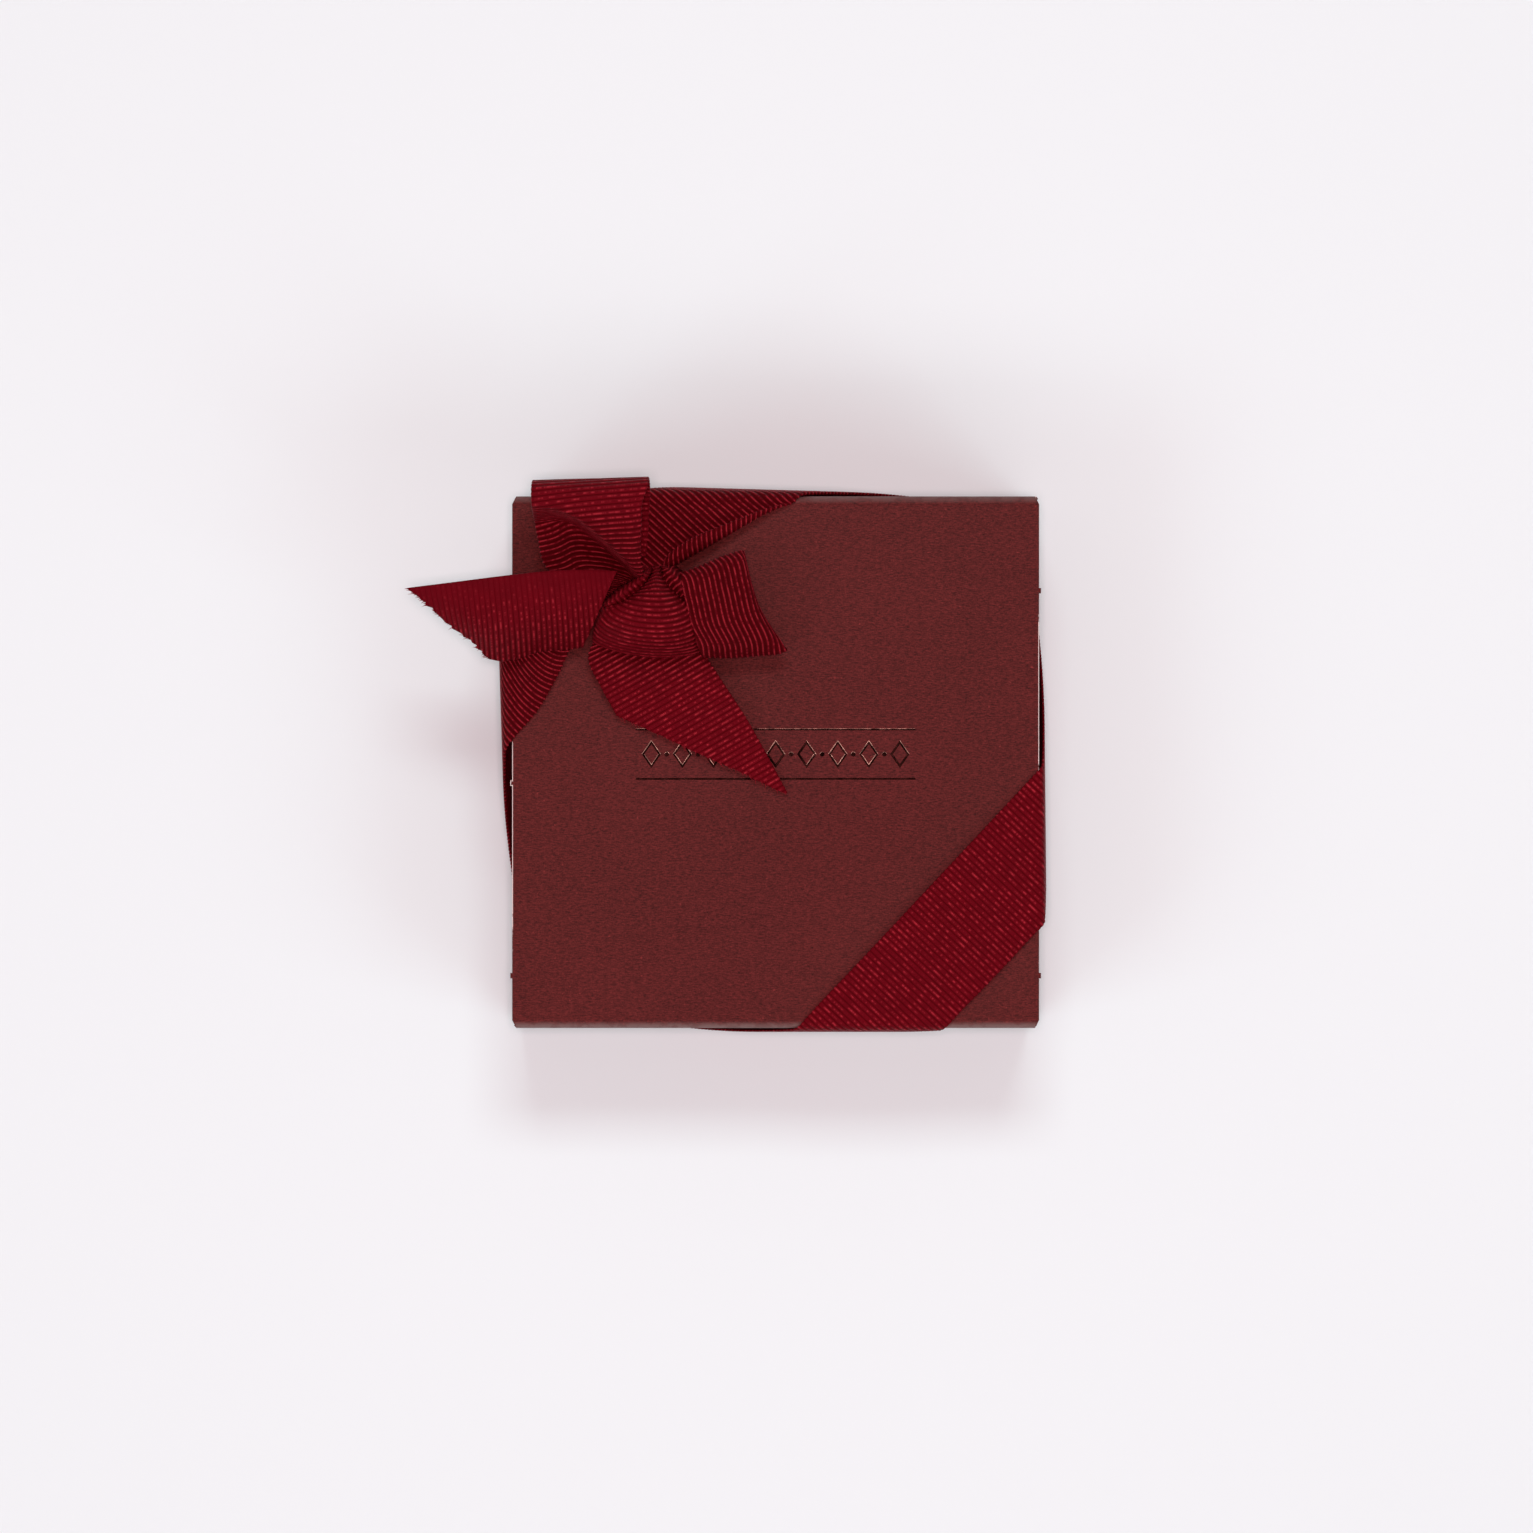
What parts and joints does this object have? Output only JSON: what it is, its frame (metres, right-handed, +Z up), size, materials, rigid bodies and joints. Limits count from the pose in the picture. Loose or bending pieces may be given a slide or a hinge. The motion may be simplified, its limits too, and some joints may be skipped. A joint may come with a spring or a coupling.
{
  "type": "chocolate box",
  "caption": "Square drawer-style chocolate box: a card sleeve open at both ends, a tray with crossed dividers that slides out, and a ribbon round its corners tied in a bow.",
  "frame": {"origin": "on the table, under the middle of the sleeve", "axes": "+X is the way the tray slides out, +Y runs from the front to the back where the bow's upper loop points, +Z is up through the lid"},
  "size_m": [0.1187, 0.1032, 0.0464],
  "materials": {
    "sleeve_board": "uncoated felt-marked burgundy board, pale core at the raw edges",
    "glue": "dried film of white glue",
    "foil": "hot-stamped rose copper foil",
    "tray_board": "uncoated burgundy board, folded double at the walls",
    "liner_paper": "thin greaseproof sheet",
    "divider_board": "dark brown food board",
    "ribbon": "crimson grosgrain with ribs across its width and a slight sheen"
  },
  "bodies": {
    "sleeve": {"sleeve": "sleeve_board", "seam_glue": "glue", "foil_band": "foil"},
    "tray": {"tray": "tray_board", "base_liner": "liner_paper", "front_divider": "divider_board", "back_divider": "divider_board", "left_divider": "divider_board", "right_divider": "divider_board"},
    "far_ribbon": {"far_ribbon": "ribbon"},
    "bow_ribbon": {"left_strand": "ribbon", "back_strand": "ribbon", "bow_knot": "ribbon", "upper_loop": "ribbon", "right_loop": "ribbon", "left_tail": "ribbon", "right_tail": "ribbon"}
  },
  "joints": [
    {"name": "tray_slide", "type": "slide", "parent": "sleeve", "child": "tray", "axis": [1, 0, 0], "range_m": [0, 0.0975]},
    {"name": "far_ribbon_slip", "type": "slide", "parent": "sleeve", "child": "far_ribbon", "axis": [0.7071, -0.7071, 0], "range_m": [0, 0.15]},
    {"name": "bow_ribbon_slip", "type": "slide", "parent": "sleeve", "child": "bow_ribbon", "axis": [-0.7071, 0.7071, 0], "range_m": [0, 0.15]}
  ],
  "couplings": [
    {"joint": "far_ribbon_slip", "follows": "tray_slide", "ratio": 1.5}
  ]
}
